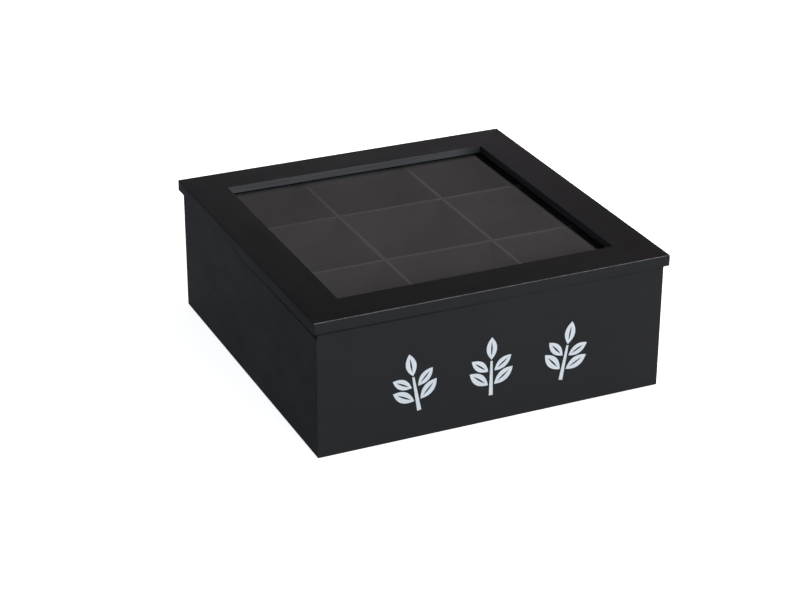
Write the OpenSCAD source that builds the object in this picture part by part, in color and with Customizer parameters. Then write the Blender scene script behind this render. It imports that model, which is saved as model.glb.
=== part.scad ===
// Tea bag box: nine compartments under a hinged lid with a window.
// Millimetres. The origin is the middle of the underside, +Z is up and the front faces -Y.

/* [Walls] */
// Outside width of the box below the lid, left to right
body_w = 230; // [190:1:300]
// Outside depth of the box below the lid, front to back
body_d = 230; // [190:1:300]
// Height of the walls
body_h = 82.5; // [50:0.5:130]
// Thickness of the walls
wall_t = 6; // [5:0.5:9]
// How far the side walls reach into the ends of the front and back walls
corner_rebate = 3; // [2:0.5:4]
// Radius of the eased outer edges of the box
body_ease = 0.8; // [0.3:0.1:1.5]

/* [Base panel] */
// Thickness of the base panel
base_t = 3; // [2:0.5:5]
// How far the step for the base panel reaches into the walls
base_step = 3; // [2:0.5:4]
// Gap between the edges of the base panel and its step
base_gap = 0.2; // [0.1:0.05:0.4]

/* [Dividers] */
// Thickness of the dividers
divider_t = 3; // [2:0.5:5]
// How far the dividers end below the top of the walls
divider_drop = 1; // [0.5:0.5:10]
// Depth of the grooves in the walls that hold the dividers
groove_depth = 1.5; // [1:0.25:2.5]
// Gap between a divider and its groove, or the divider that it crosses
divider_gap = 0.1; // [0.05:0.05:0.3]
// Radius of the eased edges of the dividers
divider_ease = 0.4; // [0.2:0.1:0.8]

/* [Lid frame] */
// Thickness of the lid
lid_t = 7.5; // [6.5:0.5:12]
// How far the lid stands out past the walls on every side
lid_overhang = 2.5; // [1:0.25:5]
// Width of the rails round the window
rail_w = 25.75; // [20:0.25:40]
// Radius of the eased outer edges of the lid
lid_ease = 0.8; // [0.3:0.1:1.5]
// Radius of the eased upper edge of the window
window_ease = 0.4; // [0.2:0.1:1]

/* [Window pane] */
// Thickness of the pane
pane_t = 1.4; // [1:0.1:2.5]
// How far the step for the pane reaches under the rails
pane_step = 6; // [3:0.5:8]
// Gap between the edges of the pane and its step
pane_gap = 0.25; // [0.1:0.05:0.5]
// How far the pane lies above the underside of the lid
pane_lift = 0.1; // [0.05:0.05:0.5]
// Radius of the corners of the pane
pane_corner = 1; // [0.5:0.25:3]
// Thickness of the soft seal between the pane and the rails
seal_t = 1.2; // [0.5:0.1:2]
// How far the seal stands back from the edge of the window
seal_setback = 0.8; // [0.2:0.1:2]

/* [Hinges] */
// Length of a hinge
hinge_l = 25; // [20:1:40]
// Distance from the side of the box to the middle of the nearer hinge
hinge_inset = 45; // [32:1:60]
// Number of knuckles on a hinge, an odd number
knuckles = 5; // [3:2:7]
// Outer diameter of the knuckles
knuckle_d = 3.2; // [2.6:0.1:4]
// Gap between neighbouring knuckles
knuckle_gap = 0.2; // [0.1:0.05:0.4]
// Thickness of the leaves
leaf_t = 0.8; // [0.6:0.1:1.2]
// How far the face of a leaf lies below the face of its board
leaf_sink = 0.1; // [0.05:0.05:0.3]
// Gap between a leaf and the sides of its mortise
leaf_gap = 0.1; // [0.05:0.05:0.3]
// Radius of the corners of the leaves
leaf_corner = 0.8; // [0.4:0.1:1.5]
// Gap between the knuckles and the board or leaf that turns round them
swing_gap = 0.25; // [0.15:0.05:0.5]
// Diameter of the hinge pin
pin_d = 1.6; // [1.2:0.1:2]
// Gap all round the pin in the knuckles that turn on it
pin_run = 0.05; // [0.01:0.01:0.1]
// Gap all round the pin in the knuckles that grip it
pin_grip = 0.01; // [0.01:0.01:0.02]
// Angle of opening at which the rear edge of the lid meets the back wall
stop_angle = 102; // [95:1:110]

/* [Hinge screws] */
// Distance between the two screws of a leaf
screw_spacing = 15; // [10:1:17]
// Length of a screw with its head
screw_l = 5; // [4:0.5:5.5]
// Diameter of the shank
screw_d = 1.4; // [1.2:0.1:1.8]
// Length of the pointed tip
screw_tip = 1.2; // [0.8:0.1:2]
// Diameter of the head
head_d = 3; // [2.6:0.1:3.4]
// Height of the countersunk head
head_h = 0.8; // [0.6:0.1:1.2]
// Length of each arm of the cross in the head
drive_l = 1.6; // [1:0.1:2]
// Width of the arms of the cross
drive_w = 0.4; // [0.3:0.1:0.6]
// Depth of the cross
drive_depth = 0.5; // [0.3:0.1:0.6]
// Gap between a screw and its hole
screw_gap = 0.05; // [0.02:0.01:0.1]

/* [Hidden] */
$fn = 48;

// Finishes
paint = "#26262a";
inner_paint = "#303033";
pane_tint = [0.72, 0.76, 0.78, 0.35];
seal_black = "#141416";
plated_steel = "#b8b8b4";

// Overrun of a cut past the face that it opens
over = 1;
// Compartments in each direction
bays = 3;

// Clear space between the walls
inner_w = body_w - 2 * wall_t;
inner_d = body_d - 2 * wall_t;
// Tongues at the ends of the front and back walls, and the side walls between them
tongue_t = wall_t - corner_rebate;
side_wall_l = body_d - 2 * tongue_t;

// Distance between the middles of neighbouring dividers, and the dividers' height
pitch_w = (inner_w + divider_t) / bays;
pitch_d = (inner_d + divider_t) / bays;
divider_h = body_h - divider_drop - base_t;
slot_w = divider_t + 2 * divider_gap;

lid_w = body_w + 2 * lid_overhang;
lid_d = body_d + 2 * lid_overhang;
window_w = lid_w - 2 * rail_w;
window_d = lid_d - 2 * rail_w;
pane_step_depth = pane_lift + pane_t + seal_t;
// How far the pane and its seal reach past the window on two sides together
pane_reach = 2 * (pane_step - pane_gap);

// At the stop angle the lower rear edge of the lid has turned in until it touches the back wall
stop_lean = sin(stop_angle - 90);
pin_out = lid_overhang * stop_lean / (1 + stop_lean);
leaf_w = wall_t + pin_out;
knuckle_l = (hinge_l - (knuckles - 1) * knuckle_gap) / knuckles;
knuckle_pitch = knuckle_l + knuckle_gap;
swing_d = knuckle_d + 2 * swing_gap;
mortise_l = hinge_l + 2 * leaf_gap;
mortise_depth = leaf_t + leaf_sink;
// The screws stand midway between the leaf's free edge and the knuckles
screw_reach = (leaf_w + swing_d / 2) / 2;

// What is cut off a corner of a flat shape to round it, for a corner that points to x, y
module corner_waste(x, y, r) {
    difference() {
        square(2 * r, center = true);
        translate([-x * r, -y * r]) circle(r);
    }
}

// Rectangle about the origin with rounded corners
module eased_rect(w, d, r) {
    difference() {
        square([w, d], center = true);
        for (x = [-1, 1], y = [-1, 1])
            translate([x * w / 2, y * d / 2]) corner_waste(x, y, r);
    }
}

// Block that stands on the XY plane about the Z axis, with every edge rounded
module eased_block(w, d, h, r) {
    intersection() {
        linear_extrude(h) eased_rect(w, d, r);
        translate([0, d / 2, h / 2]) rotate([90, 0, 0]) linear_extrude(d) eased_rect(w, h, r);
        translate([-w / 2, 0, h / 2]) rotate([90, 0, 90]) linear_extrude(w) eased_rect(d, h, r);
    }
}

// Block that stands on the XY plane about the Z axis, with square edges
module slab(w, d, h) {
    translate([-w / 2, -d / 2, 0]) cube([w, d, h]);
}

// Cylinder about the origin, along X
module rod(d, l) {
    rotate([0, 90, 0]) cylinder(d = d, h = l, center = true);
}

// Step that the base panel lies in
module base_room() {
    translate([0, 0, -over]) slab(inner_w + 2 * base_step, inner_d + 2 * base_step, base_t + over);
}

// Grooves for the dividers, open at the top of the walls
module divider_room() {
    for (side = [-1, 1]) {
        translate([side * pitch_w / 2, 0, base_t]) slab(slot_w, inner_d + 2 * groove_depth, body_h);
        translate([0, side * pitch_d / 2, base_t]) slab(inner_w + 2 * groove_depth, slot_w, body_h);
    }
}

// Front wall: full width at its outer face, and thicker between the side walls
module cross_wall() {
    difference() {
        intersection() {
            eased_block(body_w, body_d, body_h, body_ease);
            translate([0, -body_d / 2, 0]) linear_extrude(body_h) {
                translate([-body_w / 2, 0]) square([body_w, tongue_t]);
                translate([-inner_w / 2, 0]) square([inner_w, wall_t]);
            }
        }
        base_room();
        divider_room();
    }
}

// Left wall, between the tongues of the front and back walls
module side_wall() {
    difference() {
        intersection() {
            eased_block(body_w, body_d, body_h, body_ease);
            translate([(wall_t - body_w) / 2, 0, 0]) slab(wall_t, side_wall_l, body_h);
        }
        base_room();
        divider_room();
    }
}

module front_wall() {
    color(paint) cross_wall();
}

module back_wall() {
    color(paint) difference() {
        rotate([0, 0, 180]) cross_wall();
        both_hinges() {
            hinge_room();
            screw_pair() screw_hole();
        }
    }
}

module left_wall() {
    color(paint) side_wall();
}

module right_wall() {
    color(paint) rotate([0, 0, 180]) side_wall();
}

module base_panel() {
    play = base_step - base_gap;
    color(inner_paint) slab(inner_w + 2 * play, inner_d + 2 * play, base_t);
}

// Divider along X with a halving slot at each crossing, from slot_z upwards or downwards
module divider(inner_l, pitch, slot_z) {
    difference() {
        eased_block(inner_l + 2 * (groove_depth - divider_gap), divider_t, divider_h, divider_ease);
        for (side = [-1, 1])
            translate([side * pitch / 2, 0, slot_z]) slab(slot_w, divider_t + 2 * over, divider_h);
    }
}

// Divider that runs left to right, slotted from below
module cross_divider(side) {
    slot_z = divider_gap - divider_h / 2;
    color(inner_paint)
        translate([0, side * pitch_d / 2, base_t]) divider(inner_w, pitch_w, slot_z);
}

// Divider that runs front to back, slotted from above
module long_divider(side) {
    slot_z = divider_h / 2 - divider_gap;
    color(inner_paint)
        translate([side * pitch_w / 2, 0, base_t]) rotate([0, 0, 90]) divider(inner_d, pitch_d, slot_z);
}

// Section of a rail: outer edge at the left, window at the right, with the pane's step below
module rail_section() {
    difference() {
        square([rail_w, lid_t]);
        translate([rail_w - pane_step, -over]) square([pane_step + over, pane_step_depth + over]);
        translate([rail_w, lid_t]) corner_waste(1, 1, window_ease);
    }
}

// Front rail of a lid of length l and depth d, mitred at both ends
module rail(l, d) {
    intersection() {
        eased_block(l, d, lid_t, lid_ease);
        translate([-l / 2, -d / 2, 0]) rotate([90, 0, 90]) linear_extrude(l) rail_section();
        translate([0, -d / 2, 0]) linear_extrude(lid_t)
            polygon([[-l / 2, 0], [l / 2, 0], [l / 2 - rail_w, rail_w], [rail_w - l / 2, rail_w]]);
    }
}

module lid_front_rail() {
    color(paint) translate([0, 0, body_h]) rail(lid_w, lid_d);
}

module lid_right_rail() {
    color(paint) translate([0, 0, body_h]) rotate([0, 0, 90]) rail(lid_d, lid_w);
}

module lid_back_rail() {
    color(paint) difference() {
        translate([0, 0, body_h]) rotate([0, 0, 180]) rail(lid_w, lid_d);
        both_hinges() {
            hinge_room();
            mirror([0, 0, 1]) screw_pair() screw_hole();
        }
    }
}

module lid_left_rail() {
    color(paint) translate([0, 0, body_h]) rotate([0, 0, -90]) rail(lid_d, lid_w);
}

module window_pane() {
    color(pane_tint) translate([0, 0, body_h + pane_lift]) linear_extrude(pane_t)
        eased_rect(window_w + pane_reach, window_d + pane_reach, pane_corner);
}

// Soft frame that the pane is bedded on
module pane_seal() {
    color(seal_black) translate([0, 0, body_h + pane_lift + pane_t]) linear_extrude(seal_t) difference() {
        eased_rect(window_w + pane_reach, window_d + pane_reach, pane_corner);
        square([window_w + 2 * seal_setback, window_d + 2 * seal_setback], center = true);
    }
}

// Places a hinge, drawn with its pin along X through the origin, on one side of the back wall
module at_hinge(side) {
    translate([side * (body_w / 2 - hinge_inset), body_d / 2 + pin_out, body_h]) children();
}

module both_hinges() {
    for (side = [-1, 1]) at_hinge(side) children();
}

// Room for a closed hinge: its knuckles, its two leaves, and the way out to the rear
module hinge_room() {
    rod(swing_d, mortise_l);
    translate([0, -(leaf_w + leaf_gap) / 2, -mortise_depth])
        slab(mortise_l, leaf_w + leaf_gap, 2 * mortise_depth);
    translate([0, (lid_overhang + over) / 2, -swing_d / 2]) slab(mortise_l, lid_overhang + over, swing_d);
}

// Every second knuckle of a hinge, beginning with the given one
module knuckle_row(first, d, l) {
    for (i = [first : 2 : knuckles - 1])
        translate([(i - (knuckles - 1) / 2) * knuckle_pitch, 0, 0]) rod(d, l);
}

// Leaf below the pin, notched round the knuckles of the other leaf
module leaf(first, bore_d) {
    difference() {
        union() {
            translate([0, -leaf_w / 2, -mortise_depth]) linear_extrude(leaf_t)
                eased_rect(hinge_l, leaf_w, leaf_corner);
            knuckle_row(first, knuckle_d, knuckle_l);
        }
        knuckle_row(1 - first, swing_d, knuckle_l + 2 * knuckle_gap);
        rod(bore_d, hinge_l + 2 * over);
        screw_pair() screw_hole();
    }
}

module wall_leaf(side) {
    color(plated_steel) at_hinge(side) leaf(0, pin_d + 2 * pin_grip);
}

module lid_leaf(side) {
    color(plated_steel) at_hinge(side) mirror([0, 0, 1]) leaf(1, pin_d + 2 * pin_run);
}

module hinge_pin(side) {
    color(plated_steel) at_hinge(side) rod(pin_d, hinge_l);
}

// Places for the two screws of a leaf below the pin
module screw_pair() {
    for (x = [-1, 1])
        translate([x * screw_spacing / 2, -screw_reach, -leaf_sink]) children();
}

// Countersunk screw that points down from the origin
module screw() {
    difference() {
        rotate_extrude() polygon([
            [0, -screw_l], [screw_d / 2, screw_tip - screw_l], [screw_d / 2, -head_h],
            [head_d / 2, 0], [0, 0]
        ]);
        for (turn = [0, 90])
            rotate([0, 0, turn]) translate([0, 0, -drive_depth]) slab(drive_l, drive_w, drive_depth + over);
    }
}

// Hole for that screw, with its gap all round
module screw_hole() {
    shank_r = screw_d / 2 + screw_gap;
    head_r = head_d / 2 + screw_gap;
    rotate_extrude() polygon([
        [0, -screw_l - screw_gap], [shank_r, -screw_l - screw_gap], [shank_r, -head_h],
        [head_r, 0], [head_r, over], [0, over]
    ]);
}

module wall_leaf_screws() {
    color(plated_steel) both_hinges() screw_pair() screw();
}

module lid_leaf_screws() {
    color(plated_steel) both_hinges() mirror([0, 0, 1]) screw_pair() screw();
}

front_wall();
back_wall();
left_wall();
right_wall();
base_panel();
long_divider(-1);  // left_divider
long_divider(1);  // right_divider
cross_divider(-1);  // front_divider
cross_divider(1);  // rear_divider
lid_front_rail();
lid_right_rail();
lid_back_rail();
lid_left_rail();
window_pane();
pane_seal();
wall_leaf(-1);  // left_hinge_wall_leaf
lid_leaf(-1);  // left_hinge_lid_leaf
hinge_pin(-1);  // left_hinge_pin
wall_leaf(1);  // right_hinge_wall_leaf
lid_leaf(1);  // right_hinge_lid_leaf
hinge_pin(1);  // right_hinge_pin
wall_leaf_screws();
lid_leaf_screws();
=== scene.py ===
"""Tea bag box: paint, pane, hinge plating, printed sprigs and a plain studio round the frame.

Metres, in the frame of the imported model: +Z is up, the front faces -Y and +X is to the right.
"""

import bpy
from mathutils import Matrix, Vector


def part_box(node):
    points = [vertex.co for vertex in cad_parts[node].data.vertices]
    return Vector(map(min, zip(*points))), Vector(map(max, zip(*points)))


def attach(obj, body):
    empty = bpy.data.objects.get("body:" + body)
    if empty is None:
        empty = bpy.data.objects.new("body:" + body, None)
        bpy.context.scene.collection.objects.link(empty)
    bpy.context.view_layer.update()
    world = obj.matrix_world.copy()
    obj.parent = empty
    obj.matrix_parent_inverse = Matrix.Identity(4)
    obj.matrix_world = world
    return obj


bl_info = {
    "name": "Tea Bag Box Finishes",
    "version": (1, 0, 0),
    "blender": (4, 5, 0),
    "location": "View3D > Sidebar > Tea Box",
    "description": "Finishes a low tea bag box with a window lid and sets it in a plain studio",
    "category": "Object",
}

import math

import bmesh
import bpy
from bpy.props import (
    FloatProperty,
    FloatVectorProperty,
    IntProperty,
    PointerProperty,
)
from mathutils import Matrix, Vector

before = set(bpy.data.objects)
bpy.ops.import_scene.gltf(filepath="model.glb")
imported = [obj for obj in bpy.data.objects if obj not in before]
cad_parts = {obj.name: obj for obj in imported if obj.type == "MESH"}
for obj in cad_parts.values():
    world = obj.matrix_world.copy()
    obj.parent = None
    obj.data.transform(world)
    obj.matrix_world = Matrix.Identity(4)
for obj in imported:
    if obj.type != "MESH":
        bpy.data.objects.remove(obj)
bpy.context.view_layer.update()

MM = 0.001

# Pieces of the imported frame, by where they are and which way their grain runs
WALLS_ALONG_X = ("front_wall", "back_wall")
WALLS_ALONG_Y = ("left_wall", "right_wall")
DIVIDERS_ALONG_X = ("front_divider", "rear_divider")
DIVIDERS_ALONG_Y = ("left_divider", "right_divider")
FRONT_RAIL = "lid_front_rail"
BACK_RAIL = "lid_back_rail"
SIDE_RAILS = ("lid_left_rail", "lid_right_rail")
HINGE_PIECES = (
    "left_hinge_wall_leaf",
    "left_hinge_lid_leaf",
    "left_hinge_pin",
    "right_hinge_wall_leaf",
    "right_hinge_lid_leaf",
    "right_hinge_pin",
)
HINGE_SCREWS = ("wall_leaf_screws", "lid_leaf_screws")

ALONG_X = Vector((1, 0, 0))
ALONG_Y = Vector((0, 1, 0))


def reach(*nodes):
    """Lowest and highest corner of several nodes together."""
    boxes = [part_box(node) for node in nodes]
    low = Vector(min(box[0][i] for box in boxes) for i in range(3))
    high = Vector(max(box[1][i] for box in boxes) for i in range(3))
    return low, high


walls_low, walls_high = reach(*WALLS_ALONG_X, *WALLS_ALONG_Y)
_, lid_high = reach(FRONT_RAIL, BACK_RAIL, *SIDE_RAILS)
_, dividers_high = reach(*DIVIDERS_ALONG_X, *DIVIDERS_ALONG_Y)
# The window runs between the inner edges of the rails
window_high = Vector((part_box("lid_right_rail")[0].x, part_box(BACK_RAIL)[0].y, lid_high.z))
# The front and back walls show as a narrow strip of end grain at the ends of the side walls
end_grain = walls_high.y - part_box("left_wall")[1].y


class TeaBoxPaint(bpy.types.PropertyGroup):
    """Black paint on the outside of the box and on its lid."""

    color: FloatVectorProperty(
        name="Paint", description="Colour of the black paint",
        subtype="COLOR", size=3, min=0, max=1, default=(0.0264, 0.0268, 0.0284),
    )
    # Rubbed paint on the edges, which is also a painted highlight, most of all on the lid's front
    # top edge
    worn_and_highlight_color: FloatVectorProperty(
        name="Rubbed Paint", description="Colour of the paint where hands have rubbed an edge",
        subtype="COLOR", size=3, min=0, max=1, default=(0.2, 0.2, 0.2),
    )
    # Painted light on the window's edge: paler than the paint, most of all on the rear edge, which
    # faces the light
    reveal_painted_light: FloatVectorProperty(
        name="Window Edge", description="Colour of the shaded edge of the wood round the window",
        subtype="COLOR", size=3, min=0, max=1, default=(0.075, 0.075, 0.078),
    )
    rear_reveal_painted_light: FloatVectorProperty(
        name="Rear Window Edge", description="Colour of the thinly painted rear window edge",
        subtype="COLOR", size=3, min=0, max=1, default=(0.094, 0.096, 0.102),
    )
    # Painted shade: the lid's flat top keeps only this share of the paint's colour
    top_shade: FloatProperty(
        name="Top Coat", description="Share of the paint's colour on the flat top of the lid",
        subtype="FACTOR", min=0, max=1, default=0.46,
    )
    roughness: FloatProperty(
        name="Roughness", description="Mean roughness of the paint",
        subtype="FACTOR", min=0, max=1, default=0.56,
    )
    gloss: FloatProperty(
        name="Gloss", description="Strength of the reflection at the surface of the paint",
        subtype="FACTOR", min=0, max=1, default=0.0055,
    )
    grain_depth: FloatProperty(
        name="Grain Depth", description="Depth of the wood grain that shows through the paint",
        unit="LENGTH", min=0, max=0.001, default=0.03 * MM,
    )
    edge_width: FloatProperty(
        name="Edge Width", description="How far the rubbed paint reaches from an edge",
        unit="LENGTH", min=0, max=0.01, default=0.55 * MM,
    )


class TeaBoxInside(bpy.types.PropertyGroup):
    """Thin matt paint on the panel and the dividers inside."""

    color: FloatVectorProperty(
        name="Inside Paint", description="Colour of the matt paint inside the box",
        subtype="COLOR", size=3, min=0, max=1, default=(0.034, 0.0325, 0.033),
    )
    top_color: FloatVectorProperty(
        name="Divider Tops", description="Colour of the thinly painted top edges of the dividers",
        subtype="COLOR", size=3, min=0, max=1, default=(0.075, 0.078, 0.076),
    )
    roughness: FloatProperty(
        name="Roughness", description="Mean roughness of the matt paint",
        subtype="FACTOR", min=0, max=1, default=0.72,
    )


class TeaBoxPane(bpy.types.PropertyGroup):
    """Clear pane of the lid and the soft strip that it is bedded on."""

    # The pane's tint is also its pale veil, a painted reflection of the bright room
    color: FloatVectorProperty(
        name="Pane", description="Tint of the pane",
        subtype="COLOR", size=3, min=0, max=1, default=(0.228, 0.234, 0.226),
    )
    opacity: FloatProperty(
        name="Opacity", description="Share of the light that each face of the pane holds back",
        subtype="FACTOR", min=0, max=1, default=0.16,
    )
    seal_color: FloatVectorProperty(
        name="Seal", description="Colour of the soft strip under the rails",
        subtype="COLOR", size=3, min=0, max=1, default=(0.004, 0.004, 0.0045),
    )


class TeaBoxMetal(bpy.types.PropertyGroup):
    """Plating of the hinges and their screws."""

    hinge_color: FloatVectorProperty(
        name="Hinges", description="Colour of the plated hinges",
        subtype="COLOR", size=3, min=0, max=1, default=(0.6, 0.59, 0.565),
    )
    screw_color: FloatVectorProperty(
        name="Screws", description="Colour of the plated screws",
        subtype="COLOR", size=3, min=0, max=1, default=(0.66, 0.65, 0.62),
    )
    roughness: FloatProperty(
        name="Roughness", description="Mean roughness of the plating",
        subtype="FACTOR", min=0, max=1, default=0.3,
    )


class TeaBoxSprigs(bpy.types.PropertyGroup):
    """Row of sprigs that are printed on the front wall."""

    color: FloatVectorProperty(
        name="Ink", description="Colour of the pale ink",
        subtype="COLOR", size=3, min=0, max=1, default=(0.69, 0.735, 0.775),
    )
    count: IntProperty(
        name="Sprigs", description="Number of sprigs in the row", min=1, max=5, default=3,
    )
    spacing: FloatProperty(
        name="Spacing", description="Distance between the middles of neighbouring sprigs",
        unit="LENGTH", min=0.03, max=0.1, default=51 * MM,
    )
    middle_x: FloatProperty(
        name="Middle", description="How far the row is set off to the right of the middle",
        unit="LENGTH", min=-0.05, max=0.05, default=-2 * MM,
    )
    middle_z: FloatProperty(
        name="Height of the Row", description="Height of the middle of the row above the floor",
        unit="LENGTH", min=0.02, max=0.06, default=37.5 * MM,
    )
    height: FloatProperty(
        name="Sprig Height", description="Height of a sprig",
        unit="LENGTH", min=0.01, max=0.06, default=39 * MM,
    )
    lean: FloatProperty(
        name="Lean", description="How far the outer sprigs lean away from the middle one",
        unit="ROTATION", min=0, max=math.radians(45), default=math.radians(10),
    )
    ink: FloatProperty(
        name="Ink Thickness", description="Thickness of the printed ink",
        unit="LENGTH", min=0.00002, max=0.0005, default=0.1 * MM,
    )


class TeaBoxStudio(bpy.types.PropertyGroup):
    """Floor, light and camera."""

    floor_color: FloatVectorProperty(
        name="Floor", description="Colour of the pale floor",
        subtype="COLOR", size=3, min=0, max=1, default=(0.9, 0.9, 0.9),
    )
    floor_glow: FloatProperty(
        name="Floor Glow", description="How bright the floor looks before any light falls on it",
        subtype="FACTOR", min=0, max=1, default=0.865,
    )
    horizon: FloatVectorProperty(
        name="Horizon", description="Colour and level of the soft light from all round",
        subtype="COLOR", size=3, min=0, max=2, default=(0.178, 0.205, 0.25),
    )
    zenith: FloatVectorProperty(
        name="Zenith", description="Colour and level of the soft light from straight above",
        subtype="COLOR", size=3, min=0, max=2, default=(0.05, 0.048, 0.048),
    )
    key: FloatProperty(
        name="Key", description="Power of the soft light at the front, to the right",
        unit="POWER", min=0, max=200, default=16.2,
    )
    fill: FloatProperty(
        name="Fill", description="Power of the low light at the left",
        unit="POWER", min=0, max=200, default=1.15,
    )
    top: FloatProperty(
        name="Top", description="Power of the light above the right end of the lid",
        unit="POWER", min=0, max=200, default=3.4,
    )
    rim: FloatProperty(
        name="Rim", description="Power of the low light behind the box",
        unit="POWER", min=0, max=200, default=9,
    )
    azimuth: FloatProperty(
        name="Azimuth", description="Direction of the camera round the box, from the front",
        unit="ROTATION", default=math.radians(-24.537),
    )
    elevation: FloatProperty(
        name="Elevation", description="Angle of the camera above the horizon",
        unit="ROTATION", default=math.radians(25.602),
    )
    roll: FloatProperty(
        name="Roll", description="Turn of the camera about its own line of sight",
        unit="ROTATION", default=math.radians(0.257),
    )
    distance: FloatProperty(
        name="Distance", description="Distance of the camera from the point that it looks at",
        unit="LENGTH", min=0.2, max=5, default=1.348,
    )
    target: FloatVectorProperty(
        name="Target", description="Point that the camera looks at",
        subtype="XYZ", unit="LENGTH", size=3, default=(-0.02054, -0.02315, 0.045),
    )
    lens: FloatProperty(
        name="Lens", description="Focal length of the camera",
        unit="CAMERA", min=10, max=300, default=96.22,
    )


class TeaBoxSettings(bpy.types.PropertyGroup):
    """All the settings of the box."""

    paint: PointerProperty(type=TeaBoxPaint, name="Paint", description="Outside paint")
    inside: PointerProperty(type=TeaBoxInside, name="Inside", description="Inside paint")
    pane: PointerProperty(type=TeaBoxPane, name="Pane", description="Pane and seal")
    metal: PointerProperty(type=TeaBoxMetal, name="Metal", description="Hinges and screws")
    sprigs: PointerProperty(type=TeaBoxSprigs, name="Sprigs", description="Printed sprigs")
    studio: PointerProperty(type=TeaBoxStudio, name="Studio", description="Floor, light, camera")


WHITE = (1.0, 1.0, 1.0, 1.0)
# Parts of a noise's range that a pattern changes over
BROAD = (0.25, 0.75)
NARROW = (0.3, 0.7)


def rgba(color):
    """A colour with its alpha."""
    return (*color[:3], 1.0)


def put(socket, value):
    """Links an output to a socket, or sets the socket's own value."""
    if isinstance(value, bpy.types.NodeSocket):
        socket.id_data.links.new(value, socket)
    elif socket.type == "RGBA":
        socket.default_value = rgba(value)
    elif value is not None:
        socket.default_value = value


def mixed_color(tree, share, first, second):
    """Colour that changes from first to second as share goes from 0 to 1."""
    node = tree.nodes.new("ShaderNodeMix")
    node.data_type = "RGBA"
    put(node.inputs["Factor"], share)
    colors = [socket for socket in node.inputs if socket.type == "RGBA"]
    for socket, value in zip(colors, (first, second)):
        put(socket, value)
    return next(socket for socket in node.outputs if socket.type == "RGBA")


class Finish:
    """A material that is built up node by node round one Principled shader."""

    def __init__(self, name):
        self.material = bpy.data.materials.new(name)
        self.material.use_nodes = True
        self.tree = self.material.node_tree
        self.shader = self.tree.nodes["Principled BSDF"]
        self.point = self.add("ShaderNodeTexCoord").outputs["Object"]

    def add(self, kind, inputs=(), **settings):
        """Adds a node, with values or links for its inputs from the first one on."""
        node = self.tree.nodes.new(kind)
        for setting, value in settings.items():
            setattr(node, setting, value)
        for socket, value in zip(node.inputs, inputs):
            put(socket, value)
        return node

    def shade(self, **values):
        """Sets the shader's sockets, named with underscores for spaces."""
        for name, value in values.items():
            put(self.shader.inputs[name.replace("_", " ").title()], value)

    def gloss(self, level):
        """Sets how strongly the surface reflects what is round it."""
        self.shader.inputs["Specular IOR Level"].default_value = level

    def math(self, operation, *values):
        """Sum, product or other operation on one or two numbers."""
        return self.add("ShaderNodeMath", values, operation=operation).outputs[0]

    def vector(self, operation, *values):
        """Operation on one or two vectors."""
        return self.add("ShaderNodeVectorMath", values, operation=operation).outputs[0]

    def product(self, first, *others):
        """Product of several numbers."""
        for other in others:
            first = self.math("MULTIPLY", first, other)
        return first

    def folded(self):
        """The point, folded over from wherever it is to the rear right quarter of the box."""
        return self.vector("ABSOLUTE", self.point)

    def parts(self, vector):
        """The three parts of a vector."""
        return self.add("ShaderNodeSeparateXYZ", (vector,)).outputs

    def ramp(self, value, start, end, low=0.0, high=1.0):
        """Low up to start, high from end on, and a smooth change in between."""
        inputs = (value, start, end, low, high)
        return self.add("ShaderNodeMapRange", inputs, interpolation_type="SMOOTHSTEP").outputs[0]

    def noise(self, scale, detail=3.0, rough=0.55):
        """Noise from 0 to 1. scale is one number per metre, or three for a stretched pattern."""
        point = self.point
        if not isinstance(scale, (int, float)):
            point = self.vector("MULTIPLY", point, scale)
            scale = 1.0
        node = self.add("ShaderNodeTexNoise", noise_dimensions="3D")
        put(node.inputs["Vector"], point)
        put(node.inputs["Scale"], scale)
        put(node.inputs["Detail"], detail)
        put(node.inputs["Roughness"], rough)
        return node.outputs[0]

    def mix(self, share, first, second):
        """Colour that changes from first to second as share goes from 0 to 1."""
        return mixed_color(self.tree, share, first, second)

    def tint(self, color, share):
        """Colour times a share that varies over the surface."""
        return self.vector("SCALE", color, None, None, share)

    def bump(self, *layers):
        """Bumps laid one on another, each a height from 0 to 1 and its depth in metres."""
        normal = None
        for height, depth in layers:
            node = self.add("ShaderNodeBump")
            put(node.inputs["Strength"], 1.0)
            put(node.inputs["Distance"], depth)
            put(node.inputs["Height"], height)
            put(node.inputs["Normal"], normal)
            normal = node.outputs[0]
        put(self.shader.inputs["Normal"], normal)


def grain_scale(along, fine, stretch):
    """Scale of a pattern with so many lines per metre, drawn out along one axis."""
    return tuple(fine / stretch if part else fine for part in along)


def finish_nodes(names, finish):
    """Gives nodes of the frame a finish in place of the plain one that they came with."""
    for name in names:
        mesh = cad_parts[name].data
        mesh.materials.clear()
        mesh.materials.append(finish.material)


# Colour of the paint deep in a joint, and of the painted shadow under the lid
PAINT_SHADOW = (0.003, 0.003, 0.003)
# Where the dark line along a joint begins and ends to fade, how much it darkens the paint and
# how deep its groove is
JOINT_FADE = (0.04 * MM, 0.16 * MM)
JOINT_SHADE = 0.3
JOINT_GROOVE = 0.05 * MM
# How far in from the outside of the side walls the joint at a corner reaches, and how far it
# takes to end
JOINT_DEPTH = 1.5 * MM
JOINT_END = 0.1 * MM
# How deep below a surface a point starts to count as on it, and from where it fully does: the
# outside of a side wall, and the top of the lid
WALL_SKIN = (0.6 * MM, 0.4 * MM)
TOP_SKIN = (0.1 * MM, 0.02 * MM)
# The painted shadow under the lid: how far down the walls it reaches, how much further on the
# side walls, and how far it takes to fade
LID_SHADOW_DEPTH = 1.6 * MM
LID_SHADOW_EXTRA = 2.5 * MM
LID_SHADOW_FADE = 0.8 * MM
# Its strength on the front and back walls, and how much more it has on the side walls
LID_SHADOW_STRENGTH = 0.5
LID_SHADOW_SIDES = 0.45
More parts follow.
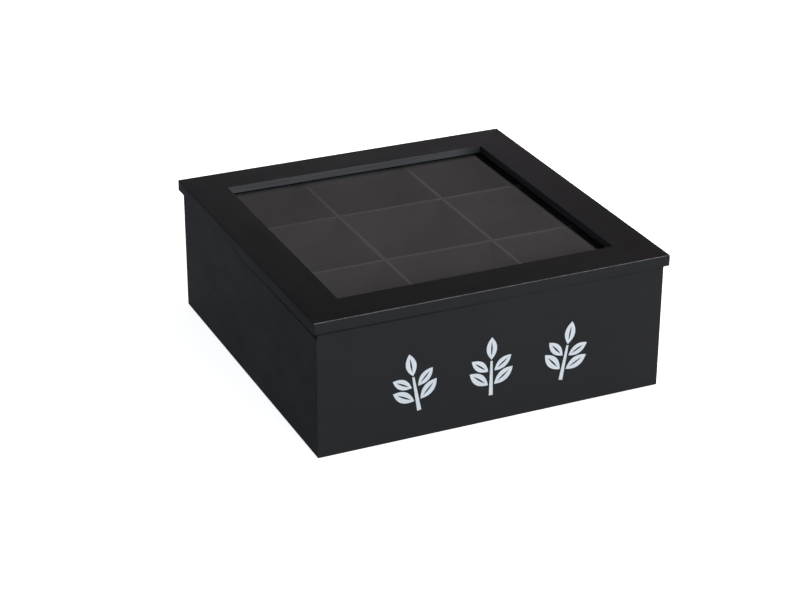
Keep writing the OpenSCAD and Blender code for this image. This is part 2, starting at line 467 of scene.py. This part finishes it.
# How much of it is left away from the front left corner, and where it starts and ends to fade
# to that, in metres along X and Y together
LID_SHADOW_LEFT = 0.3
LID_SHADOW_CORNER = (-0.19, -0.08)
# Painted shade on the lid's flat top, deepest at the front: its factor at the front and at the
# back, and how far both are from the middle
TOP_SHADE_RANGE = (0.93, 1.5)
TOP_SHADE_REACH = 110 * MM
# How far from the window's outline the colour of its edge starts and ends to fade
REVEAL_FADE = (0.05 * MM, 0.35 * MM)
# How far the shade in the window's right corners reaches along the edge, and how much of the
# colour it leaves
CORNER_REACH = 22 * MM
CORNER_SHADE = 0.45
# How much the roughness of the paint goes up and down, and how much rubbing takes off it
SMEAR = 0.06
RUBBED_SMOOTH = 0.12
# Share of rubbed paint and painted highlight on an edge, the full share on the front rail's top edge
LIGHT_WEAR_HIGHLIGHT = 0.07
FULL_WEAR_HIGHLIGHT = 1.0
# Depth of the pores and of the fine dimples of the paint, against the depth of the grain
PORE_SHARE = 0.4
DIMPLE_SHARE = 0.5


def mitre_gap(finish):
    """How far off the mitred joints between the rails a point is, along X or along Y."""
    x, y, _ = finish.parts(finish.folded())
    return finish.math("ABSOLUTE", finish.math("SUBTRACT", x, y))


def corner_joint_gap(finish):
    """Distance from the upright joints near the corners, where they show on the side walls."""
    x, y, _ = finish.parts(finish.folded())
    off_joint = finish.math("ABSOLUTE", finish.math("SUBTRACT", y, walls_high.y - end_grain))
    seen_from = walls_high.x - JOINT_DEPTH
    inside = finish.ramp(x, seen_from - JOINT_END, seen_from, 1.0, 0.0)
    return finish.math("ADD", off_joint, inside)


def upright_edge_gap(finish):
    """Distance from the upright edges at the corners of the box."""
    x, y, _ = finish.parts(finish.vector("SUBTRACT", walls_high, finish.folded()))
    return finish.math("MAXIMUM", x, y)


def lid_gap(finish):
    """Distances from the lid's outline and top, along each axis."""
    return finish.parts(finish.vector("SUBTRACT", lid_high, finish.folded()))


def front_edge_gap(finish):
    """Distance from the outer top edge of the front and back rails."""
    _, y, z = lid_gap(finish)
    return finish.math("MAXIMUM", y, z)


def side_edge_gap(finish):
    """Distance from the outer top edge of the side rails."""
    x, _, z = lid_gap(finish)
    return finish.math("MAXIMUM", x, z)


def window_gap(finish):
    """Distance from the window's outline, seen from above: 0 on the edge of the wood."""
    x, y, _ = finish.parts(finish.vector("SUBTRACT", finish.folded(), window_high))
    return finish.math("MAXIMUM", x, y)


def painted_lid_shadow(finish):
    """Share of the painted shadow on the walls under the lid, strongest at the front left corner.

    It reaches further down on the side walls than on the front and back walls.
    """
    x, y, z = finish.parts(finish.point)
    off_middle = finish.parts(finish.folded())[0]
    start, end = (walls_high.x - depth for depth in WALL_SKIN)
    side = finish.ramp(off_middle, start, end)
    below = finish.math("SUBTRACT", walls_high.z, z)
    below = finish.math("SUBTRACT", below, finish.math("MULTIPLY", side, LID_SHADOW_EXTRA))
    depth = finish.ramp(below, LID_SHADOW_DEPTH, LID_SHADOW_DEPTH + LID_SHADOW_FADE, 1.0, 0.0)
    strength = finish.math("ADD", finish.math("MULTIPLY", side, LID_SHADOW_SIDES), LID_SHADOW_STRENGTH)
    near = finish.ramp(finish.math("ADD", x, y), *LID_SHADOW_CORNER, 1.0, LID_SHADOW_LEFT)
    return finish.product(depth, strength, near)


def painted_top_shade(finish, top_shade):
    """Share of the paint's colour, with painted shade: less on the flat top of the lid, least at its
    front.
    """
    _, y, z = finish.parts(finish.point)
    thin = finish.ramp(y, -TOP_SHADE_REACH, TOP_SHADE_REACH, *TOP_SHADE_RANGE)
    start, end = (lid_high.z - depth for depth in TOP_SKIN)
    return finish.ramp(z, start, end, 1.0, finish.math("MULTIPLY", thin, top_shade))


def window_edge_color(finish, streaks, color):
    """Painted light on the wood at the window's edge, with painted shade on the right rail and near
    it.
    """
    off_corner = finish.math("SUBTRACT", window_high.x, finish.parts(finish.point)[0])
    streaked = finish.tint(tuple(color), finish.ramp(streaks, *NARROW, low=0.85, high=1.12))
    return finish.tint(streaked, finish.ramp(off_corner, 0.0, CORNER_REACH, CORNER_SHADE, 1.0))


def painted_wood(name, along, joint_gap, edge_gap, rubbed, reveal=None):
    """Black paint on fine-grained board: even, a little mottled, dark in the joints, rubbed on
    edges.

    edge_gap and rubbed tell where the edges are rubbed and lighter, partly as a painted highlight,
    and how much; reveal is the painted light of the window's edge on a rail of the lid. A board
    without one is a wall, with a painted shadow under the lid. The lid's top has painted shade.
    """
    paint = bpy.context.scene.tea_box.paint
    finish = Finish(name)
    mottle = finish.noise(scale=22, detail=4)
    streaks = finish.noise(grain_scale(along, fine=620, stretch=34), detail=4, rough=0.6)
    pores = finish.noise(grain_scale(along, fine=2600, stretch=18), detail=2)
    dimples = finish.noise(scale=1100, detail=2)
    smears = finish.noise(grain_scale(along, fine=70, stretch=3), detail=5, rough=0.65)
    patches = finish.noise(scale=260, detail=4, rough=0.7)

    cloudy = finish.ramp(mottle, *BROAD, low=0.95, high=1.02)
    grainy = finish.ramp(streaks, *NARROW, low=0.0, high=0.04)
    shade = finish.math("ADD", cloudy, grainy)
    # Painted shade on the lid's flat top
    shade = finish.math("MULTIPLY", shade, painted_top_shade(finish, paint.top_shade))
    color = finish.tint(tuple(paint.color), shade)
    joint = finish.ramp(joint_gap(finish), *JOINT_FADE, 1.0, 0.0)
    color = finish.mix(finish.math("MULTIPLY", joint, JOINT_SHADE), color, PAINT_SHADOW)
    if reveal is None:
        # Painted shadow of the lid's overhang on the walls
        color = finish.mix(painted_lid_shadow(finish), color, PAINT_SHADOW)

    # Rubbed and lighter edges, partly a painted highlight
    width = paint.edge_width
    wear_and_highlight = finish.ramp(edge_gap(finish), 0.5 * width, width, rubbed, 0.0)
    patchy = finish.ramp(patches, start=0.3, end=0.62, low=0.35)
    wear_and_highlight = finish.math("MULTIPLY", wear_and_highlight, patchy)
    color = finish.mix(wear_and_highlight, color, paint.worn_and_highlight_color)
    rough = finish.ramp(smears, *BROAD, paint.roughness - SMEAR, paint.roughness + SMEAR)
    rough = finish.math("SUBTRACT", rough, finish.math("MULTIPLY", wear_and_highlight, RUBBED_SMOOTH))
    # Painted light on the window's edge
    if reveal is not None:
        on_edge = finish.ramp(window_gap(finish), *REVEAL_FADE, 1.0, 0.0)
        color = finish.mix(on_edge, color, window_edge_color(finish, streaks, reveal))

    finish.shade(base_color=color, roughness=rough)
    finish.gloss(paint.gloss)
    grain = paint.grain_depth
    pitting = ((pores, PORE_SHARE * grain), (dimples, DIMPLE_SHARE * grain))
    finish.bump((streaks, grain), *pitting, (joint, -JOINT_GROOVE))
    return finish


class TEABOX_OT_paint_walls(bpy.types.Operator):
    """Paint the four walls"""

    bl_idname = "teabox.paint_walls"
    bl_label = "Paint Walls"

    def execute(self, context):
        gaps = (corner_joint_gap, upright_edge_gap, LIGHT_WEAR_HIGHLIGHT)
        finish_nodes(WALLS_ALONG_X, painted_wood("black_paint_walls_x", ALONG_X, *gaps))
        finish_nodes(WALLS_ALONG_Y, painted_wood("black_paint_walls_y", ALONG_Y, *gaps))
        return {"FINISHED"}


class TEABOX_OT_paint_lid(bpy.types.Operator):
    """Paint the four rails of the lid"""

    bl_idname = "teabox.paint_lid"
    bl_label = "Paint Lid"

    def execute(self, context):
        paint = context.scene.tea_box.paint
        shaded, lit = paint.reveal_painted_light, paint.rear_reveal_painted_light
        rails = (
            ((FRONT_RAIL,), "black_paint_front_rail", ALONG_X, front_edge_gap, FULL_WEAR_HIGHLIGHT, shaded),
            (SIDE_RAILS, "black_paint_side_rails", ALONG_Y, side_edge_gap, LIGHT_WEAR_HIGHLIGHT, shaded),
            ((BACK_RAIL,), "black_paint_back_rail", ALONG_X, front_edge_gap, LIGHT_WEAR_HIGHLIGHT, lit),
        )
        for nodes, name, along, edge_gap, rubbed, reveal in rails:
            finish_nodes(nodes, painted_wood(name, along, mitre_gap, edge_gap, rubbed, reveal))
        return {"FINISHED"}


# How deep the lighter paint on a divider's crest is, and where it starts and ends to fade
CREST_DEPTH = 0.15 * MM
CREST_END = 0.45 * MM
# Where the lighter crest fades across a divider, from its middle line, and how much of it is left
CREST_FADE = (0.5 * MM, 1.1 * MM)
CREST_LEFT = 0.25
# Where the lighter crest fades towards the back, how much of a step to the left counts as a step
# back, and how much of it is left there
REAR_FADE = (0.02, 0.11)
REAR_SLANT = 0.5
REAR_LEFT = 0.4
# How far the nap takes the roughness of the matt paint down and up, and how deep it and the
# fibres are
NAP_RANGE = (-0.05, 0.07)
NAP_DEPTH = 0.006 * MM
FIBRE_DEPTH = 0.02 * MM


def crest_gap(finish, along):
    """Distance from the middle line of the nearest divider that runs this way."""
    node, axis = ("right_divider", 0) if along is ALONG_Y else ("rear_divider", 1)
    low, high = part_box(node)
    offset = finish.parts(finish.folded())[axis]
    return finish.math("ABSOLUTE", finish.math("SUBTRACT", offset, (low[axis] + high[axis]) / 2))


def inside_paint(name, along):
    """Thin matt paint over fine board, lighter on the crests of the dividers."""
    inside = bpy.context.scene.tea_box.inside
    finish = Finish(name)
    mottle = finish.noise(scale=35, detail=4)
    fibres = finish.noise(grain_scale(along, fine=900, stretch=22), detail=4, rough=0.6)
    nap = finish.noise(scale=1600, detail=3)
    cloudy = finish.ramp(mottle, *BROAD, low=0.8, high=1.04)
    fibrous = finish.ramp(fibres, *NARROW, low=0.0, high=0.12)
    color = finish.tint(tuple(inside.color), finish.math("ADD", cloudy, fibrous))

    x, y, z = finish.parts(finish.point)
    rearward = finish.math("SUBTRACT", y, finish.math("MULTIPLY", x, REAR_SLANT))
    crest = finish.product(
        finish.ramp(z, dividers_high.z - CREST_END, dividers_high.z - CREST_DEPTH),
        finish.ramp(fibres, start=0.25, end=0.6, low=0.75),
        finish.ramp(crest_gap(finish, along), *CREST_FADE, 1.0, CREST_LEFT),
        finish.ramp(rearward, *REAR_FADE, 1.0, REAR_LEFT),
    )
    color = finish.mix(crest, color, inside.top_color)
    smoothest, roughest = (inside.roughness + change for change in NAP_RANGE)
    rough = finish.ramp(nap, *NARROW, smoothest, roughest)
    finish.shade(base_color=color, roughness=rough)
    finish.gloss(0.0)
    finish.bump((fibres, FIBRE_DEPTH), (nap, NAP_DEPTH))
    return finish


class TEABOX_OT_paint_inside(bpy.types.Operator):
    """Paint the base panel and the dividers"""

    bl_idname = "teabox.paint_inside"
    bl_label = "Paint Inside"

    def execute(self, context):
        finish_nodes(("base_panel", *DIVIDERS_ALONG_X), inside_paint("matt_paint_x", ALONG_X))
        finish_nodes(DIVIDERS_ALONG_Y, inside_paint("matt_paint_y", ALONG_Y))
        return {"FINISHED"}


# Marks of a cloth on the pane, in lines per metre along each axis
WIPE_LINES = (14, 120, 30)
# Direction in which the pane's veil grows fainter
THINNING_X = 0.65
THINNING_Y = 0.75
# Depth of the open pores of the seal
SEAL_PORES = 0.08 * MM


def clear_pane(pane):
    """Clear pane with a pale veil on it, a painted reflection of the bright room round it."""
    finish = Finish("clear_pane")
    haze = finish.noise(scale=9, detail=5, rough=0.6)
    wipes = finish.noise(WIPE_LINES, detail=3)
    x, y, _ = finish.parts(finish.point)
    rightward = finish.math("MULTIPLY", x, THINNING_X)
    rearward = finish.math("ADD", finish.math("MULTIPLY", y, THINNING_Y), rightward)
    off_rail = finish.math("SUBTRACT", window_high.x, x)
    off_back = finish.math("SUBTRACT", window_high.y, y)
    # What the veil changes with, where it starts and ends to change, and how bright it is there
    painted_veil = (
        (haze, BROAD, (0.88, 1.12)),
        # Brighter towards the front left, fainter towards the back right
        (rearward, (-0.13, 0.13), (1.24, 0.75)),
        # Beside the right rail a painted reflection of the rail's dark edge, in place of the bright
        # room
        (off_rail, (4.6 * MM, 4.8 * MM), (0.12, 1.0)),
        # Painted light close to the right and back rails, against the shadow they cast on the veil
        (off_rail, (4.7 * MM, 7.6 * MM), (1.65, 1.0)),
        (off_back, (2 * MM, 8 * MM), (1.45, 1.0)),
    )
    color = tuple(pane.color)
    for value, span, veil_brightness in painted_veil:
        color = finish.tint(color, finish.ramp(value, *span, *veil_brightness))
    rough = finish.ramp(wipes, start=0.4, end=0.75, low=0.03, high=0.07)
    finish.shade(base_color=color, roughness=rough)
    finish.shader.inputs["Alpha"].default_value = pane.opacity
    # With any gloss the pane's lower face mirrors the compartments as grainy noise
    finish.gloss(0.0)
    return finish


def soft_seal(pane):
    """Matt black foam with open pores."""
    finish = Finish("soft_black_seal")
    pores = finish.noise(scale=2400, detail=3, rough=0.7)
    color = finish.tint(tuple(pane.seal_color), finish.ramp(pores, *NARROW, low=0.7, high=1.3))
    finish.shade(base_color=color, roughness=finish.ramp(pores, *NARROW, low=0.88, high=0.97))
    finish.gloss(0.0)
    finish.bump((pores, SEAL_PORES))
    return finish


class TEABOX_OT_glaze_window(bpy.types.Operator):
    """Give the pane its clear surface and the seal its soft black one"""

    bl_idname = "teabox.glaze_window"
    bl_label = "Glaze Window"

    def execute(self, context):
        pane = context.scene.tea_box.pane
        finish_nodes(("window_pane",), clear_pane(pane))
        finish_nodes(("pane_seal",), soft_seal(pane))
        return {"FINISHED"}


# Depth of the rolled lines in the plating and of its dulled patches
LINE_DEPTH = 0.0015 * MM
PATCH_DEPTH = 0.003 * MM


def plated(name, color, fine, stretch):
    """Nickel plating with fine rolled lines along X, a little dulled in patches."""
    metal = bpy.context.scene.tea_box.metal
    finish = Finish(name)
    lines = finish.noise(grain_scale(ALONG_X, fine, stretch), detail=3)
    dulled = finish.noise(scale=160, detail=5, rough=0.65)
    lined = finish.ramp(lines, *NARROW, low=0.94, high=1.03)
    darkened = finish.ramp(dulled, start=0.55, end=0.8, low=0.0, high=-0.08)
    color = finish.tint(tuple(color), finish.math("ADD", lined, darkened))
    rough = finish.ramp(dulled, start=0.45, end=0.75, low=-0.04, high=0.14)
    rough = finish.math("ADD", rough, finish.ramp(lines, *NARROW, low=-0.04, high=0.05))
    rough = finish.math("ADD", rough, metal.roughness)
    finish.shade(base_color=color, metallic=1.0, roughness=rough)
    finish.bump((lines, LINE_DEPTH), (dulled, PATCH_DEPTH))
    return finish


class TEABOX_OT_plate_hinges(bpy.types.Operator):
    """Plate the leaves and pins of the hinges"""

    bl_idname = "teabox.plate_hinges"
    bl_label = "Plate Hinges"

    def execute(self, context):
        color = context.scene.tea_box.metal.hinge_color
        finish_nodes(HINGE_PIECES, plated("nickel_hinge", color, fine=7000, stretch=40))
        return {"FINISHED"}


class TEABOX_OT_plate_screws(bpy.types.Operator):
    """Plate the screws of the hinges"""

    bl_idname = "teabox.plate_screws"
    bl_label = "Plate Screws"

    def execute(self, context):
        color = context.scene.tea_box.metal.screw_color
        finish_nodes(HINGE_SCREWS, plated("nickel_screw", color, fine=5000, stretch=2))
        return {"FINISHED"}


# Sprig, in millimetres: a stem with pairs of leaves and a bud, drawn about its own middle
SPRIG_H = 35.0
STEM_FOOT = 2.4
STEM_TOP = 1.3
BUD_L = 13.5
BUD_W = 6.2
LEAF_PAIRS = 2
LOWEST_LEAF = 6.5
PAIR_RISE = 8.2
LEAF_L = 14.0
LEAF_GAP = 0.7
VEIN_W = 0.95
MERGE_DISTANCE = 0.001
LEAF_ANGLE = math.radians(38)
# Length of a leaf against the one below it, and a leaf's width and the ends of its vein
# against its length
LEAF_SHRINK = 0.9
LEAF_SLIMNESS = 0.46
VEIN_START = 0.16
VEIN_END = 0.8
# How far along a side its handles stand, and how far out against the leaf's width: the middle
# of a side with both handles at height h lies at three quarters of h
HANDLE_INSET = 0.34
HANDLE_REACH = 2 / 3
CURVE_STEPS = 14


def lens_outline(curve, place, start, end, width):
    """Closed outline with two sharp ends on a line and its sides bowed out, like a leaf's."""
    spline = curve.splines.new("BEZIER")
    spline.bezier_points.add(1)
    spline.use_cyclic_u = True
    length = end - start
    for point, along, turn in zip(spline.bezier_points, (start, end), (1, -1)):
        bow = width * HANDLE_REACH * turn
        inward = along + turn * HANDLE_INSET * length
        point.co = place @ Vector((along, 0, 0))
        point.handle_right_type = "FREE"
        point.handle_left_type = "FREE"
        point.handle_right = place @ Vector((inward, bow, 0))
        point.handle_left = place @ Vector((inward, -bow, 0))


def leaf(curve, place, length, width):
    """Leaf that points along X from the origin, slit along its vein."""
    lens_outline(curve, place, 0, length, width)
    lens_outline(curve, place, VEIN_START * length, VEIN_END * length, VEIN_W)


def stem(curve, foot, top):
    """Straight stem along Y that narrows upwards."""
    spline = curve.splines.new("POLY")
    spline.points.add(3)
    spline.use_cyclic_u = True
    low, high = STEM_FOOT / 2, STEM_TOP / 2
    corners = ((-low, foot), (low, foot), (high, top), (-high, top))
    for point, (x, y) in zip(spline.points, corners):
        point.co = (x, y, 0, 1)


def sprig_curve(name, ink):
    """Flat curve of a whole sprig, upright in the XY plane, in millimetres."""
    curve = bpy.data.curves.new(name, "CURVE")
    curve.dimensions = "2D"
    curve.fill_mode = "BOTH"
    curve.resolution_u = CURVE_STEPS
    curve.extrude = ink / MM / 2
    foot = -SPRIG_H / 2
    bud_base = SPRIG_H / 2 - BUD_L
    stem(curve, foot, bud_base - LEAF_GAP)
    upright = Matrix.Rotation(math.pi / 2, 4, "Z")
    leaf(curve, Matrix.Translation((0, bud_base, 0)) @ upright, BUD_L, BUD_W)
    off_stem = STEM_FOOT / 2 + LEAF_GAP
    for pair in range(LEAF_PAIRS):
        length = LEAF_L * LEAF_SHRINK**pair
        level = foot + LOWEST_LEAF + pair * PAIR_RISE
        for side, angle in ((off_stem, LEAF_ANGLE), (-off_stem, math.pi - LEAF_ANGLE)):
            place = Matrix.Translation((side, level, 0)) @ Matrix.Rotation(angle, 4, "Z")
            leaf(curve, place, length, LEAF_SLIMNESS * length)
    return curve


def add_object(name, data):
    """New object in the scene, at the origin."""
    item = bpy.data.objects.new(name, data)
    bpy.context.scene.collection.objects.link(item)
    return item


def flat_mesh(curve, place):
    """Mesh of a flat curve, set in place and with its faces outwards."""
    drawn = add_object(curve.name, curve)
    shown = drawn.evaluated_get(bpy.context.evaluated_depsgraph_get())
    mesh = bpy.data.meshes.new_from_object(shown)
    bpy.data.objects.remove(drawn)
    shape = bmesh.new()
    shape.from_mesh(mesh)
    bmesh.ops.remove_doubles(shape, verts=shape.verts, dist=MERGE_DISTANCE)
    bmesh.ops.transform(shape, matrix=place, verts=shape.verts)
    bmesh.ops.recalc_face_normals(shape, faces=shape.faces)
    shape.to_mesh(mesh)
    shape.free()
    return mesh


# How strongly the ink reflects, and how deep its specks and its unevenness are
INK_GLOSS = 0.25
SPECK_DEPTH = 0.015 * MM
COVER_DEPTH = 0.03 * MM


def printed_ink(color):
    """Pale ink, laid on a little unevenly through a screen."""
    finish = Finish("pale_ink")
    cover = finish.noise(scale=90, detail=5, rough=0.6)
    specks = finish.noise(scale=1500, detail=2)
    uneven = finish.ramp(cover, *BROAD, low=0.95, high=1.02)
    speckled = finish.ramp(specks, start=0.6, end=0.8, low=0.0, high=-0.06)
    color = finish.tint(tuple(color), finish.math("ADD", uneven, speckled))
    finish.shade(base_color=color, roughness=finish.ramp(cover, *NARROW, low=0.5, high=0.62))
    finish.gloss(INK_GLOSS)
    finish.bump((specks, SPECK_DEPTH), (cover, COVER_DEPTH))
    return finish


class TEABOX_OT_print_sprigs(bpy.types.Operator):
    """Print the row of sprigs on the front wall"""

    bl_idname = "teabox.print_sprigs"
    bl_label = "Print Sprigs"

    def execute(self, context):
        sprigs = context.scene.tea_box.sprigs
        ink = printed_ink(sprigs.color)
        # Upright on the front wall, with half of the ink's thickness on either side of its middle
        surface = Vector((sprigs.middle_x, walls_low.y - sprigs.ink / 2, sprigs.middle_z))
        size = sprigs.height / SPRIG_H
        for i in range(sprigs.count):
            step = i - (sprigs.count - 1) / 2
            place = Matrix.Translation(surface + step * sprigs.spacing * ALONG_X)
            place = place @ Matrix.Rotation(step * sprigs.lean, 4, "Y")
            place = place @ Matrix.Rotation(math.pi / 2, 4, "X")
            place = place @ Matrix.Diagonal((size, size, MM, 1))
            name = f"printed_sprig_{i + 1}"
            mesh = flat_mesh(sprig_curve(name, sprigs.ink), place)
            mesh.name = name
            mesh.materials.clear()
            mesh.materials.append(ink.material)
            piece = add_object(name, mesh)
            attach(piece, "box")
        return {"FINISHED"}


FLOOR_SIZE = 16.0
# Between these distances from the middle of the box the floor's glow rises to white
GLOW_RISE = (0.4, 2.0)
# Where each lamp stands, from the middle of the box, the side of its square and its tint
LAMPS = {
    "key": (Vector((0.2, -1.45, 0.4)), 0.9, (0.95, 0.98, 1.0)),
    "fill": (Vector((-0.7, 0.3, 0.04)), 0.3, (0.62, 0.8, 1.0)),
    "top": (Vector((0.42, 0.3, 0.52)), 0.12, (1.0, 0.82, 0.86)),
    "rim": (Vector((0.6, 1.5, 0.0)), 0.3, (1.0, 1.0, 1.0)),
}


def seen_directly(tree):
    """1 for the camera, for reflections and through glass, and 0 for light that spreads."""
    path = tree.nodes.new("ShaderNodeLightPath")
    seen = path.outputs["Is Camera Ray"]
    for kind in ("Is Glossy Ray", "Is Transmission Ray"):
        either = tree.nodes.new("ShaderNodeMath")
        either.operation = "MAXIMUM"
        tree.links.new(seen, either.inputs[0])
        tree.links.new(path.outputs[kind], either.inputs[1])
        seen = either.outputs[0]
    return seen


def floor_finish(studio):
    """Pale floor that looks white but for the deepest of the box's shadow."""
    finish = Finish("pale_floor")
    clouds = finish.ramp(finish.noise(scale=6, detail=2), *NARROW, low=0.99, high=1.0)
    finish.shade(base_color=finish.tint(tuple(studio.floor_color), clouds), roughness=0.9)
    finish.gloss(0.0)
    away = finish.add("ShaderNodeVectorMath", (finish.point,), operation="LENGTH")
    glow = finish.ramp(away.outputs["Value"], *GLOW_RISE, studio.floor_glow, 1.0)
    finish.shader.inputs["Emission Color"].default_value = WHITE
    glow = finish.math("MULTIPLY", seen_directly(finish.tree), glow)
    put(finish.shader.inputs["Emission Strength"], glow)
    return finish


def studio_world(studio):
    """White where it is seen, and a softer light of its own on what stands in it."""
    world = bpy.data.worlds.new("studio")
    world.use_nodes = True
    tree = world.node_tree
    background = tree.nodes["Background"]
    direction = tree.nodes.new("ShaderNodeTexCoord").outputs["Generated"]
    height = tree.nodes.new("ShaderNodeSeparateXYZ")
    tree.links.new(direction, height.inputs[0])
    sky = mixed_color(tree, height.outputs["Z"], rgba(studio.horizon), rgba(studio.zenith))
    shown = mixed_color(tree, seen_directly(tree), sky, WHITE)
    tree.links.new(shown, background.inputs["Color"])
    background.inputs["Strength"].default_value = 1.0
    return world


def aim(item, place, target, roll=0.0):
    """Puts a lamp or camera at a place and turns it to a target."""
    facing = (target - place).to_track_quat("-Z", "Y").to_matrix().to_4x4()
    item.matrix_world = Matrix.Translation(place) @ facing @ Matrix.Rotation(roll, 4, "Z")


def add_floor(studio):
    """Square floor under the box, no part of the box itself."""
    shape = bmesh.new()
    bmesh.ops.create_grid(shape, x_segments=1, y_segments=1, size=FLOOR_SIZE / 2)
    mesh = bpy.data.meshes.new("floor")
    shape.to_mesh(mesh)
    shape.free()
    mesh.materials.append(floor_finish(studio).material)
    floor = add_object("floor", mesh)


def add_lamps(studio):
    """Soft square lamps, all turned to the middle of the box."""
    middle = Vector((0, 0, lid_high.z / 2))
    for name, (offset, size, tint) in LAMPS.items():
        light = bpy.data.lights.new(name, "AREA")
        light.size = size
        light.color = tint
        light.energy = getattr(studio, name)
        aim(add_object(name, light), middle + offset, middle)


def add_camera(studio):
    """Camera at the height and side from which the box is shown."""
    lens = bpy.data.cameras.new("camera")
    lens.lens = studio.lens
    camera = add_object("camera", lens)
    level = math.cos(studio.elevation)
    back = Vector((
        math.sin(studio.azimuth) * level,
        -math.cos(studio.azimuth) * level,
        math.sin(studio.elevation),
    ))
    target = Vector(studio.target)
    aim(camera, target + studio.distance * back, target, studio.roll)
    bpy.context.scene.camera = camera


class TEABOX_OT_set_stage(bpy.types.Operator):
    """Make the floor, the light and the camera"""

    bl_idname = "teabox.set_stage"
    bl_label = "Set Stage"

    def execute(self, context):
        studio = context.scene.tea_box.studio
        context.scene.view_settings.view_transform = "Standard"
        context.scene.world = studio_world(studio)
        add_floor(studio)
        add_lamps(studio)
        add_camera(studio)
        return {"FINISHED"}


OPERATORS = (
    TEABOX_OT_set_stage,
    TEABOX_OT_paint_walls,
    TEABOX_OT_paint_lid,
    TEABOX_OT_paint_inside,
    TEABOX_OT_glaze_window,
    TEABOX_OT_plate_hinges,
    TEABOX_OT_plate_screws,
    TEABOX_OT_print_sprigs,
)


class TEABOX_PT_panel(bpy.types.Panel):
    """Settings and steps of the tea bag box."""

    bl_label = "Tea Box"
    bl_idname = "TEABOX_PT_panel"
    bl_space_type = "VIEW_3D"
    bl_region_type = "UI"
    bl_category = "Tea Box"

    def draw(self, context):
        settings = context.scene.tea_box
        for group in settings.bl_rna.properties.keys():
            if group in ("rna_type", "name"):
                continue
            box = self.layout.box()
            box.label(text=settings.bl_rna.properties[group].name)
            part = getattr(settings, group)
            for name in part.bl_rna.properties.keys():
                if name not in ("rna_type", "name"):
                    box.prop(part, name)
        for operator in OPERATORS:
            self.layout.operator(operator.bl_idname)


CLASSES = (
    TeaBoxPaint,
    TeaBoxInside,
    TeaBoxPane,
    TeaBoxMetal,
    TeaBoxSprigs,
    TeaBoxStudio,
    TeaBoxSettings,
    *OPERATORS,
    TEABOX_PT_panel,
)


def register():
    """Adds the classes, and the settings to the scene."""
    for cls in CLASSES:
        bpy.utils.register_class(cls)
    bpy.types.Scene.tea_box = PointerProperty(type=TeaBoxSettings)


def unregister():
    """Takes away what register added."""
    del bpy.types.Scene.tea_box
    for cls in reversed(CLASSES):
        bpy.utils.unregister_class(cls)


def main():
    """Registers the settings, then finishes the box and sets the stage."""
    register()
    for operator in OPERATORS:
        group, name = operator.bl_idname.split(".")
        getattr(getattr(bpy.ops, group), name)()


if __name__ == "__main__":
    main()
